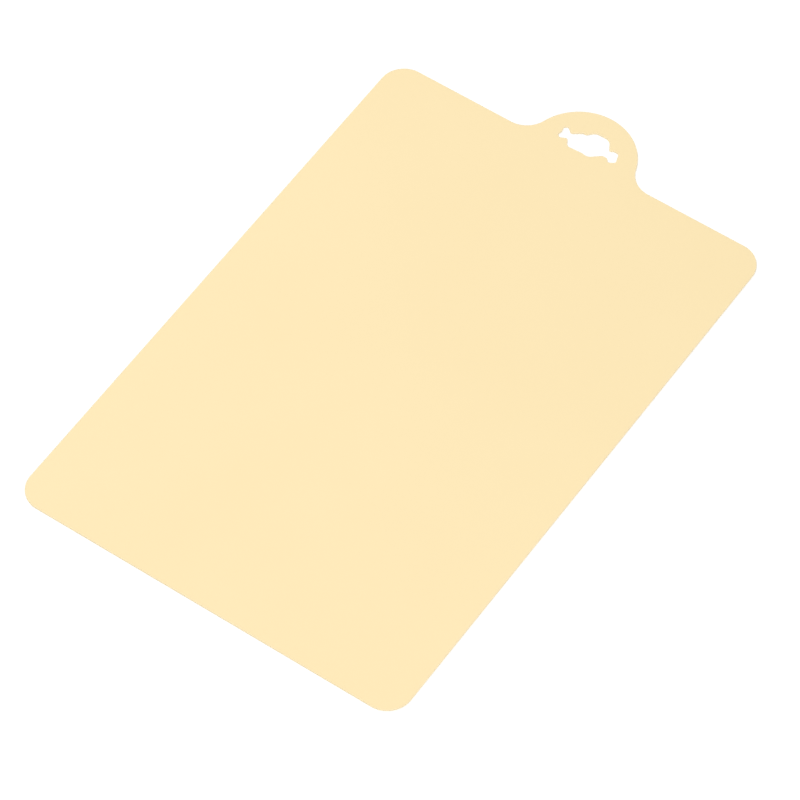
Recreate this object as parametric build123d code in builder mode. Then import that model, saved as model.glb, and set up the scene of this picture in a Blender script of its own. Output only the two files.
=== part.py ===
"""Flexible cutting mat: one thin plastic sheet with a hanging tab on a short side.

Lengths are in millimetres. The mat lies flat on its underside. +Z is up through the sheet
and +Y runs along it, towards the tab. The origin is on the underside, in the middle of the
width and of the overall length, tab included.
"""

import os

from build123d import *

# Sheet
SHEET_WIDTH = 250.0
SHEET_LENGTH = 360.0
SHEET_THICKNESS = 0.8
CORNER_RADIUS = 15.0

# Hanging tab: a half disc centred on the sheet's short edge, faired into it at both sides
TAB_RADIUS = 33.0
TAB_ROOT_RADIUS = 16.0

# Hanging hole, in the shape of a wrapped sweet
HOLE_LENGTH = 38.0
HOLE_WIDTH = 16.6
HOLE_RISE = 11.6  # from the sheet's short edge to the middle of the hole

# The die leaves both cut edges rounded by this share of the thickness
edge_rounding_share = 0.25

# Corners of the hole's outline, clockwise from the left neck: across as a share of half the
# hole's length, up as a share of half its width, and the rounding as a share of half its width
hole_outline_shares = [
    # sweet, upper side
    (-0.72, 0.02, 0.18),
    (-0.42, 0.50, 0.20),
    (-0.31, 0.50, 0.24),
    (-0.09, 1.00, 0.50),
    (0.39, 1.00, 0.60),
    (0.61, 0.16, 0.12),
    # right wrapper end
    (0.69, 0.37, 0.18),
    (0.89, 0.37, 0.22),
    (1.00, -0.37, 0.16),
    (0.80, -0.66, 0.16),
    # sweet, lower side
    (0.70, -0.37, 0.18),
    (0.53, -0.37, 0.30),
    (0.18, -1.03, 0.60),
    (-0.03, -0.95, 0.36),
    (-0.55, -1.02, 0.36),
    (-0.69, -0.42, 0.18),
    # left wrapper end
    (-0.92, -0.69, 0.16),
    (-1.02, -0.48, 0.12),
    (-0.98, -0.17, 0.12),
    (-1.02, 0.20, 0.14),
    (-0.91, 0.41, 0.14),
]

# Places that follow from the sizes
overall_length = SHEET_LENGTH + TAB_RADIUS
short_edge = overall_length / 2 - TAB_RADIUS
sheet_middle = short_edge - SHEET_LENGTH / 2
hole_middle = short_edge + HOLE_RISE
edge_rounding = SHEET_THICKNESS * edge_rounding_share

with BuildPart() as cutting_mat:
    with BuildSketch() as outline:
        with Locations((0, sheet_middle)):
            RectangleRounded(SHEET_WIDTH, SHEET_LENGTH, CORNER_RADIUS)
        with Locations((0, short_edge)):
            Circle(TAB_RADIUS)
        tab_roots = outline.vertices().sort_by_distance((0, short_edge))[:2]
        fillet(tab_roots, TAB_ROOT_RADIUS)
        with BuildLine():
            FilletPolyline(
                [
                    (across * HOLE_LENGTH / 2, hole_middle + up * HOLE_WIDTH / 2)
                    for across, up, rounding in hole_outline_shares
                ],
                radius=[rounding * HOLE_WIDTH / 2 for across, up, rounding in hole_outline_shares],
                close=True,
            )
        make_face(mode=Mode.SUBTRACT)
    extrude(amount=SHEET_THICKNESS)
    cut_edges = cutting_mat.faces().filter_by(Axis.Z).edges()
    fillet(cut_edges, edge_rounding)
cutting_mat.part.label = "cutting_mat"

os.makedirs("parts", exist_ok=True)
export_step(cutting_mat.part, "parts/cutting_mat.step")
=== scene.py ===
"""Flexible cutting mat: one frosted plastic sheet on a white floor, seen by a long lens from above."""

import math

import bpy
from mathutils import Matrix, Vector


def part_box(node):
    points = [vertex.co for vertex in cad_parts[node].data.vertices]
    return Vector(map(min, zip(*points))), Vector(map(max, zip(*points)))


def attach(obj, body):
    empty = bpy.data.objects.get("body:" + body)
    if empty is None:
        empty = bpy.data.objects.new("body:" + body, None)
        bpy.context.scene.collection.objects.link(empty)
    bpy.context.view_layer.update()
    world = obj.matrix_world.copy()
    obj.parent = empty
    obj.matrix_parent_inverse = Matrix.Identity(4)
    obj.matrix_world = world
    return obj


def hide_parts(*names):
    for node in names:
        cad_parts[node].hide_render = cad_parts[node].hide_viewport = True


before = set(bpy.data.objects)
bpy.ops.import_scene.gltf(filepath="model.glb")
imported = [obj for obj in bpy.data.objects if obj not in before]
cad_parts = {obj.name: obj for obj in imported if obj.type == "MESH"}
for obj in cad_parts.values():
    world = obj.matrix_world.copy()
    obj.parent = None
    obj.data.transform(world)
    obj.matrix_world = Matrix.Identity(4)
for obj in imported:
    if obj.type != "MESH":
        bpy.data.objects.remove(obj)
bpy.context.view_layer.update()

# Sizes in metres. The width, the overall length and the thickness come from the frame.
MM = 0.001
CORNER_RADIUS = 15 * MM
TAB_RADIUS = 33 * MM
TAB_ROOT_RADIUS = 16 * MM
HOLE_LENGTH = 38.0 * MM
HOLE_WIDTH = 16.6 * MM
HOLE_RISE = 11.6 * MM

# Shares of the thickness: the rounding of the cut edges, and the flat rim swept along with them
EDGE_ROUNDING_SHARE = 0.25
RIM_SHARE = 0.7

# Smoothness: corners that make up the tab's half disc, steps in the smallest arc and in one of
# the full radius, steps in the edge's rounding, and the distance below which points are one
TAB_CORNERS = 2
ARC_STEPS = (8, 24)
FULL_ARC_RADIUS = 15 * MM
EDGE_STEPS = 5
LEAST_STEP = 0.003 * MM

# Corners of the hole's outline: across as a share of half its length, up as a share of half
# its width, and the rounding as a share of half its width
HOLE_OUTLINE_SHARES = [
    # sweet, upper side
    (-0.72, 0.02, 0.18),
    (-0.42, 0.50, 0.20),
    (-0.31, 0.50, 0.24),
    (-0.09, 1.00, 0.50),
    (0.39, 1.00, 0.60),
    (0.61, 0.16, 0.12),
    # right wrapper end
    (0.69, 0.37, 0.18),
    (0.89, 0.37, 0.22),
    (1.00, -0.37, 0.16),
    (0.80, -0.66, 0.16),
    # sweet, lower side
    (0.70, -0.37, 0.18),
    (0.53, -0.37, 0.30),
    (0.18, -1.03, 0.60),
    (-0.03, -0.95, 0.36),
    (-0.55, -1.02, 0.36),
    (-0.69, -0.42, 0.18),
    # left wrapper end
    (-0.92, -0.69, 0.16),
    (-1.02, -0.48, 0.12),
    (-0.98, -0.17, 0.12),
    (-1.02, 0.20, 0.14),
    (-0.91, 0.41, 0.14),
]

# Colours are linear
CREAM = (0.956, 0.784, 0.462, 1.0)
CREAM_DEEP = (0.940, 0.757, 0.432, 1.0)
# The cut edge's paler cream is painted glow: the light that comes out through the translucent sheet at
# its cut edge.
CUT_EDGE_GLOW_CREAM = (0.930, 0.790, 0.520, 1.0)
WHITE = (1.0, 1.0, 1.0, 1.0)
FLOOR_PAINT = (0.9, 0.9, 0.9, 1.0)

# Finishes: two tones, the roughness at the grain's low and high spots, and the grain itself
PLASTIC_IOR = 1.49
FACE_FINISH = {
    "light": CREAM,
    "deep": CREAM_DEEP,
    "roughness": (0.52, 0.62),
    "grain_depth": 0.012 * MM,
    "grain_per_metre": 2600.0,
}
# The edge's light tone is the paler cream of the painted glow.
EDGE_FINISH_AND_GLOW = {
    "light": CUT_EDGE_GLOW_CREAM,
    "deep": CREAM_DEEP,
    "roughness": (0.50, 0.60),
    "grain_depth": 0.006 * MM,
    "grain_per_metre": 5200.0,
}

# The photograph's view: where the middle of the picture falls on the mat, and where from
LOOK_AT = Vector((11.5 * MM, -29.1 * MM, 0.8 * MM))
CAMERA_DISTANCE = 2.6136
CAMERA_AZIMUTH = math.radians(36.58)
CAMERA_ELEVATION = math.radians(55.31)
CAMERA_ROLL = math.radians(-1.99)
SENSOR = 36.0
LENS = 216.3

# Light. The floor shows a little lighter than it is lit near the mat, and much lighter far away,
# between the two distances of the fade.
WORLD_LEVEL = 0.47
BACKDROP_LEVEL = 1.0
FLOOR_LIFT = 0.20
FAR_FLOOR_LIFT = 1.0
FLOOR_FADE = (0.5, 2.0)
FLOOR_SIZE = 12.0
FLOOR_GAP = 0.02 * MM
LAMPS = {
    "front_softbox": {"place": (1.4, -1.2, 1.9), "size": 1.2, "watts": 31.0},
    "back_softbox": {"place": (-1.5, 0.55, 1.6), "size": 1.2, "watts": 19.8},
}


class Nodes:
    """Places and links the nodes of one tree."""

    def __init__(self, tree):
        self.tree = tree

    def add(self, kind, inputs=(), **settings):
        """A new node with those settings, and with its named inputs fed."""
        node = self.tree.nodes.new(kind)
        for name, value in settings.items():
            setattr(node, name, value)
        for name, value in dict(inputs).items():
            self.feed(node.inputs[name], value)
        return node

    def feed(self, socket, value):
        """Links a socket to another one, or sets it to a plain value."""
        if isinstance(value, bpy.types.NodeSocket):
            self.tree.links.new(value, socket)
        else:
            socket.default_value = value


def named_group(name, kind, inputs, outputs):
    """A node tree with those named sockets. Returns it with its input and output nodes."""
    tree = bpy.data.node_groups.new(name, kind)
    for label, socket_type, value in inputs:
        socket = tree.interface.new_socket(label, in_out="INPUT", socket_type=socket_type)
        if value is not None:
            socket.default_value = value
    for label, socket_type in outputs:
        tree.interface.new_socket(label, in_out="OUTPUT", socket_type=socket_type)
    nodes = Nodes(tree)
    return nodes, nodes.add("NodeGroupInput"), nodes.add("NodeGroupOutput")


def frost_grain_group():
    """Fine embossed grain of a frosted sheet, and the soft clouding of its colour."""
    nodes, given, result = named_group(
        "frost_grain",
        "ShaderNodeTree",
        [
            ("Grain per Metre", "NodeSocketFloat", FACE_FINISH["grain_per_metre"]),
            ("Cloud per Metre", "NodeSocketFloat", 9.0),
        ],
        [("Height", "NodeSocketFloat"), ("Cloud", "NodeSocketFloat")],
    )
    place = nodes.add("ShaderNodeTexCoord").outputs["Object"]
    pebbles = nodes.add(
        "ShaderNodeTexVoronoi",
        {"Vector": place, "Scale": given.outputs["Grain per Metre"], "Smoothness": 0.6},
        feature="SMOOTH_F1",
    )
    dust = nodes.add(
        "ShaderNodeTexNoise",
        {"Vector": place, "Scale": given.outputs["Grain per Metre"], "Detail": 3.0, "Roughness": 0.6},
    )
    height = nodes.add("ShaderNodeMix", {"A": pebbles.outputs["Distance"], "B": dust.outputs["Fac"]})
    cloud = nodes.add(
        "ShaderNodeTexNoise",
        {"Vector": place, "Scale": given.outputs["Cloud per Metre"], "Detail": 4.0, "Roughness": 0.55},
    )
    nodes.feed(result.inputs["Height"], height.outputs["Result"])
    nodes.feed(result.inputs["Cloud"], cloud.outputs["Fac"])
    return nodes.tree


def plastic(name, grain, light, deep, roughness, grain_depth, grain_per_metre):
    """A frosted plastic: two close tones clouded into each other, under a fine grain."""
    material = bpy.data.materials.new(name)
    material.use_nodes = True
    nodes = Nodes(material.node_tree)
    shader = material.node_tree.nodes["Principled BSDF"]
    frost = nodes.add("ShaderNodeGroup", node_tree=grain)
    frost.inputs["Grain per Metre"].default_value = grain_per_metre
    tone = nodes.add(
        "ShaderNodeMix",
        {"Factor": frost.outputs["Cloud"], "A": deep, "B": light},
        data_type="RGBA",
    )
    dullness = nodes.add(
        "ShaderNodeMapRange",
        {
            "Value": frost.outputs["Height"],
            "To Min": roughness[0],
            "To Max": roughness[1],
        },
    )
    bump = nodes.add(
        "ShaderNodeBump",
        {"Height": frost.outputs["Height"], "Distance": grain_depth, "Strength": 1.0},
    )
    nodes.feed(shader.inputs["Base Color"], tone.outputs["Result"])
    nodes.feed(shader.inputs["Roughness"], dullness.outputs["Result"])
    nodes.feed(shader.inputs["Normal"], bump.outputs["Normal"])
    shader.inputs["IOR"].default_value = PLASTIC_IOR
    return material


def cut_sheet_tree():
    """A sheet cut to an outline: a rounded edge swept along it, and a face above and below."""
    nodes, given, result = named_group(
        "cut_sheet",
        "GeometryNodeTree",
        [
            ("Outline", "NodeSocketObject", None),
            ("Thickness", "NodeSocketFloat", 0.8 * MM),
            ("Edge Rounding", "NodeSocketFloat", 0.2 * MM),
            ("Rim", "NodeSocketFloat", 0.5 * MM),
            ("Full Arc Radius", "NodeSocketFloat", FULL_ARC_RADIUS),
            ("Full Arc Steps", "NodeSocketInt", ARC_STEPS[1]),
            ("Least Arc Steps", "NodeSocketInt", ARC_STEPS[0]),
            ("Edge Steps", "NodeSocketInt", EDGE_STEPS),
            ("Least Step", "NodeSocketFloat", LEAST_STEP),
            ("Face Material", "NodeSocketMaterial", None),
            ("Edge Material", "NodeSocketMaterial", None),
        ],
        [("Geometry", "NodeSocketGeometry")],
    )
    value = given.outputs
    drawn = nodes.add("GeometryNodeObjectInfo", {"Object": value["Outline"]})
    rounding = nodes.add("GeometryNodeInputRadius").outputs["Radius"]
    steps = nodes.add(
        "ShaderNodeMapRange",
        {
            "Value": rounding,
            "From Max": value["Full Arc Radius"],
            "To Min": value["Least Arc Steps"],
            "To Max": value["Full Arc Steps"],
        },
    )
    rounded = nodes.add(
        "GeometryNodeFilletCurve",
        {"Curve": drawn.outputs["Geometry"], "Count": steps.outputs["Result"], "Radius": rounding},
        mode="POLY",
    )

    # Where two arcs meet, one of the two points that share the place goes
    place = nodes.add("GeometryNodeInputPosition").outputs["Position"]
    following = nodes.add("GeometryNodeOffsetPointInCurve", {"Offset": 1})
    next_place = nodes.add(
        "GeometryNodeFieldAtIndex",
        {"Index": following.outputs["Point Index"], "Value": place},
        data_type="FLOAT_VECTOR",
    )
    step_length = nodes.add(
        "ShaderNodeVectorMath", {0: place, 1: next_place.outputs["Value"]}, operation="DISTANCE"
    )
    doubled = nodes.add(
        "FunctionNodeCompare",
        {"A": step_length.outputs["Value"], "B": value["Least Step"]},
        data_type="FLOAT",
        operation="LESS_THAN",
    )
    single = nodes.add(
        "GeometryNodeDeleteGeometry",
        {"Geometry": rounded.outputs["Curve"], "Selection": doubled.outputs["Result"]},
        domain="POINT",
    )
    even = nodes.add(
        "GeometryNodeSetCurveRadius", {"Curve": single.outputs["Geometry"], "Radius": 1.0}
    )
    outline = nodes.add("GeometryNodeSetCurveNormal", {"Curve": even.outputs["Curve"]}, mode="Z_UP")

    # A swept profile's Y points down, so the upper side is at minus the thickness
    inward = nodes.add("ShaderNodeMath", {0: value["Rim"], 1: -1.0}, operation="MULTIPLY")
    upper_side = nodes.add("ShaderNodeMath", {0: value["Thickness"], 1: -1.0}, operation="MULTIPLY")
    corners = {}
    for name, across, down in [
        ("Point 1", inward.outputs[0], upper_side.outputs[0]),
        ("Point 2", 0.0, upper_side.outputs[0]),
        ("Point 3", 0.0, 0.0),
        ("Point 4", inward.outputs[0], 0.0),
    ]:
        corners[name] = nodes.add("ShaderNodeCombineXYZ", {"X": across, "Y": down}).outputs["Vector"]
    square_edge = nodes.add("GeometryNodeCurvePrimitiveQuadrilateral", corners, mode="POINTS")
    open_edge = nodes.add(
        "GeometryNodeSetSplineCyclic", {"Geometry": square_edge.outputs["Curve"], "Cyclic": False}
    )
    edge_profile = nodes.add(
        "GeometryNodeFilletCurve",
        {
            "Curve": open_edge.outputs["Geometry"],
            "Count": value["Edge Steps"],
            "Radius": value["Edge Rounding"],
        },
        mode="POLY",
    )
    band = nodes.add(
        "GeometryNodeCurveToMesh",
        {"Curve": outline.outputs["Curve"], "Profile Curve": edge_profile.outputs["Curve"]},
    )
    band_dressed = nodes.add(
        "GeometryNodeSetMaterial",
        {"Geometry": band.outputs["Mesh"], "Material": value["Edge Material"]},
    )

    step_in = nodes.add(
        "ShaderNodeVectorMath",
        {0: nodes.add("GeometryNodeInputNormal").outputs["Normal"], "Scale": inward.outputs[0]},
        operation="SCALE",
    )
    inner_line = nodes.add(
        "GeometryNodeSetPosition",
        {"Geometry": outline.outputs["Curve"], "Offset": step_in.outputs["Vector"]},
    )
    face = nodes.add("GeometryNodeFillCurve", {"Curve": inner_line.outputs["Geometry"]}, mode="TRIANGLES")
    face_dressed = nodes.add(
        "GeometryNodeSetMaterial",
        {"Geometry": face.outputs["Mesh"], "Material": value["Face Material"]},
    )
    lift = nodes.add("ShaderNodeCombineXYZ", {"Z": value["Thickness"]})
    upper = nodes.add(
        "GeometryNodeTransform",
        {"Geometry": face_dressed.outputs["Geometry"], "Translation": lift.outputs["Vector"]},
    )
    lower = nodes.add("GeometryNodeFlipFaces", {"Mesh": face_dressed.outputs["Geometry"]})

    whole = nodes.add("GeometryNodeJoinGeometry")
    for part in (band_dressed.outputs["Geometry"], upper.outputs["Geometry"], lower.outputs["Mesh"]):
        nodes.feed(whole.inputs["Geometry"], part)
    merged = nodes.add(
        "GeometryNodeMergeByDistance",
        {"Geometry": whole.outputs["Geometry"], "Distance": value["Least Step"]},
    )
    smooth = nodes.add("GeometryNodeSetShadeSmooth", {"Geometry": merged.outputs["Geometry"]})
    real = nodes.add("GeometryNodeRealizeInstances", {"Geometry": smooth.outputs["Geometry"]})
    nodes.feed(result.inputs["Geometry"], real.outputs["Geometry"])
    return nodes.tree


def sheet_corners(low, high):
    """The sheet's corners with their rounding, anticlockwise, the tab's half disc among them."""
    edge = high.y - TAB_RADIUS
    lean = math.asin(TAB_ROOT_RADIUS / (TAB_RADIUS + TAB_ROOT_RADIUS))
    root = TAB_RADIUS / math.cos(lean)
    turn = (math.pi - 2 * lean) / TAB_CORNERS
    reach = TAB_RADIUS / math.cos(turn / 2)
    corners = [
        (low.x, low.y, CORNER_RADIUS),
        (high.x, low.y, CORNER_RADIUS),
        (high.x, edge, CORNER_RADIUS),
        (root, edge, TAB_ROOT_RADIUS),
    ]
    for k in range(TAB_CORNERS):
        angle = lean + turn * (k + 0.5)
        corners.append((reach * math.cos(angle), edge + reach * math.sin(angle), TAB_RADIUS))
    corners.append((-root, edge, TAB_ROOT_RADIUS))
    corners.append((low.x, edge, CORNER_RADIUS))
    return corners


def hole_corners(high):
    """The hole's corners with their rounding, clockwise."""
    middle = high.y - TAB_RADIUS + HOLE_RISE
    return [
        (across * HOLE_LENGTH / 2, middle + up * HOLE_WIDTH / 2, rounding * HOLE_WIDTH / 2)
        for across, up, rounding in HOLE_OUTLINE_SHARES
    ]


def outline_curve(name, loops):
    """A curve object with one closed run per loop. A point's radius is its corner's rounding."""
    curve = bpy.data.curves.new(name, "CURVE")
    curve.dimensions = "3D"
    for loop in loops:
        run = curve.splines.new("POLY")
        run.points.add(len(loop) - 1)
        for point, (x, y, rounding) in zip(run.points, loop):
            point.co = (x, y, 0.0, 1.0)
            point.radius = rounding
        run.use_cyclic_u = True
    outline = bpy.data.objects.new(name, curve)
    bpy.context.scene.collection.objects.link(outline)
    return outline


def grown(name, tree, values):
    """A new object holding, as a plain mesh, what the tree makes with those values."""
    holder = bpy.data.objects.new(name + "_holder", bpy.data.meshes.new(name + "_holder"))
    bpy.context.scene.collection.objects.link(holder)
    modifier = holder.modifiers.new(tree.name, "NODES")
    modifier.node_group = tree
    for item in tree.interface.items_tree:
        if item.in_out == "INPUT" and item.name in values:
            modifier[item.identifier] = values[item.name]
    evaluated = holder.evaluated_get(bpy.context.evaluated_depsgraph_get())
    mesh = bpy.data.meshes.new_from_object(evaluated)
    mesh.name = name
    bpy.data.objects.remove(holder)
    piece = bpy.data.objects.new(name, mesh)
    bpy.context.scene.collection.objects.link(piece)
    return piece


def make_mat():
    """The mat itself, cut from one sheet, in place of the plain solid."""
    low, high = (Vector(corner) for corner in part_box("cutting_mat"))
    thickness = high.z - low.z
    grain = frost_grain_group()
    outline = outline_curve("mat_outline", [sheet_corners(low, high), hole_corners(high)])
    piece = grown(
        "mat_sheet",
        cut_sheet_tree(),
        {
            "Outline": outline,
            "Thickness": thickness,
            "Edge Rounding": thickness * EDGE_ROUNDING_SHARE,
            "Rim": thickness * RIM_SHARE,
            "Face Material": plastic("frosted_face", grain, **FACE_FINISH),
            # The edge material's paler tone is painted glow.
            "Edge Material": plastic("die_cut_edge_glow", grain, **EDGE_FINISH_AND_GLOW),
        },
    )
    bpy.data.objects.remove(outline)
    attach(piece, "root")
    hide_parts("cutting_mat")


def any_view_group():
    """1 where the camera sees a surface straight, mirrored or through something, else 0."""
    nodes, _, result = named_group("any_view", "ShaderNodeTree", [], [("Seen", "NodeSocketFloat")])
    ray = nodes.add("ShaderNodeLightPath").outputs
    direct = nodes.add(
        "ShaderNodeMath", {0: ray["Is Camera Ray"], 1: ray["Is Glossy Ray"]}, operation="MAXIMUM"
    )
    every = nodes.add(
        "ShaderNodeMath", {0: direct.outputs[0], 1: ray["Is Transmission Ray"]}, operation="MAXIMUM"
    )
    nodes.feed(result.inputs["Seen"], every.outputs[0])
    return nodes.tree


def make_floor(view):
    """A white floor that keeps the mat's shadow, and turns plain white away from it."""
    material = bpy.data.materials.new("white_floor")
    material.use_nodes = True
    tree = material.node_tree
    tree.nodes.clear()
    nodes = Nodes(tree)
    paint = nodes.add("ShaderNodeBsdfDiffuse", {"Color": FLOOR_PAINT})
    place = nodes.add("ShaderNodeTexCoord").outputs["Object"]
    away = nodes.add("ShaderNodeVectorMath", {0: place}, operation="LENGTH")
    strength = nodes.add(
        "ShaderNodeMapRange",
        {
            "Value": away.outputs["Value"],
            "From Min": FLOOR_FADE[0],
            "From Max": FLOOR_FADE[1],
            "To Min": FLOOR_LIFT,
            "To Max": FAR_FLOOR_LIFT,
        },
    )
    lift = nodes.add("ShaderNodeEmission", {"Color": WHITE, "Strength": strength.outputs["Result"]})
    seen = nodes.add("ShaderNodeGroup", node_tree=view)
    lifted = nodes.add("ShaderNodeAddShader", {0: paint.outputs[0], 1: lift.outputs[0]})
    chosen = nodes.add(
        "ShaderNodeMixShader",
        {0: seen.outputs["Seen"], 1: paint.outputs[0], 2: lifted.outputs[0]},
    )
    end = nodes.add("ShaderNodeOutputMaterial")
    nodes.feed(end.inputs["Surface"], chosen.outputs[0])

    half = FLOOR_SIZE / 2
    mesh = bpy.data.meshes.new("floor")
    corners = [(-half, -half), (half, -half), (half, half), (-half, half)]
    mesh.from_pydata([(x, y, -FLOOR_GAP) for x, y in corners], [], [(0, 1, 2, 3)])
    mesh.materials.append(material)
    floor = bpy.data.objects.new("floor", mesh)
    bpy.context.scene.collection.objects.link(floor)


def make_world(view):
    """Even white light all round, plain white where it is seen."""
    world = bpy.data.worlds.new("white_room")
    world.use_nodes = True
    bpy.context.scene.world = world
    world.node_tree.nodes.clear()
    nodes = Nodes(world.node_tree)
    seen = nodes.add("ShaderNodeGroup", node_tree=view)
    lighting = nodes.add("ShaderNodeBackground", {"Color": WHITE, "Strength": WORLD_LEVEL})
    backdrop = nodes.add("ShaderNodeBackground", {"Color": WHITE, "Strength": BACKDROP_LEVEL})
    chosen = nodes.add(
        "ShaderNodeMixShader",
        {0: seen.outputs["Seen"], 1: lighting.outputs[0], 2: backdrop.outputs[0]},
    )
    end = nodes.add("ShaderNodeOutputWorld")
    nodes.feed(end.inputs["Surface"], chosen.outputs[0])


def aimed(place, target):
    """A turn that points -Z from place to target, with +Y up."""
    return (target - place).to_track_quat("-Z", "Y").to_matrix().to_4x4()


def make_lamps():
    """Soft square lamps, all aimed at the middle of the mat."""
    for name, lamp in LAMPS.items():
        light = bpy.data.lights.new(name, "AREA")
        light.size = lamp["size"]
        light.energy = lamp["watts"]
        place = Vector(lamp["place"])
        holder = bpy.data.objects.new(name, light)
        holder.matrix_world = Matrix.Translation(place) @ aimed(place, Vector())
        bpy.context.scene.collection.objects.link(holder)


def make_camera():
    """The photograph's view. Azimuth 0 looks along +Y, and a larger one turns towards -X."""
    back = Vector(
        (
            math.sin(CAMERA_AZIMUTH) * math.cos(CAMERA_ELEVATION),
            -math.cos(CAMERA_AZIMUTH) * math.cos(CAMERA_ELEVATION),
            math.sin(CAMERA_ELEVATION),
        )
    )
    place = LOOK_AT + back * CAMERA_DISTANCE
    lens = bpy.data.cameras.new("camera")
    lens.sensor_width = SENSOR
    lens.lens = LENS
    camera = bpy.data.objects.new("camera", lens)
    roll = Matrix.Rotation(CAMERA_ROLL, 4, "Z")
    camera.matrix_world = Matrix.Translation(place) @ aimed(place, LOOK_AT) @ roll
    bpy.context.scene.collection.objects.link(camera)
    bpy.context.scene.camera = camera


view_kind = any_view_group()
make_camera()
make_world(view_kind)
make_lamps()
make_floor(view_kind)
make_mat()
bpy.context.scene.view_settings.view_transform = "Standard"
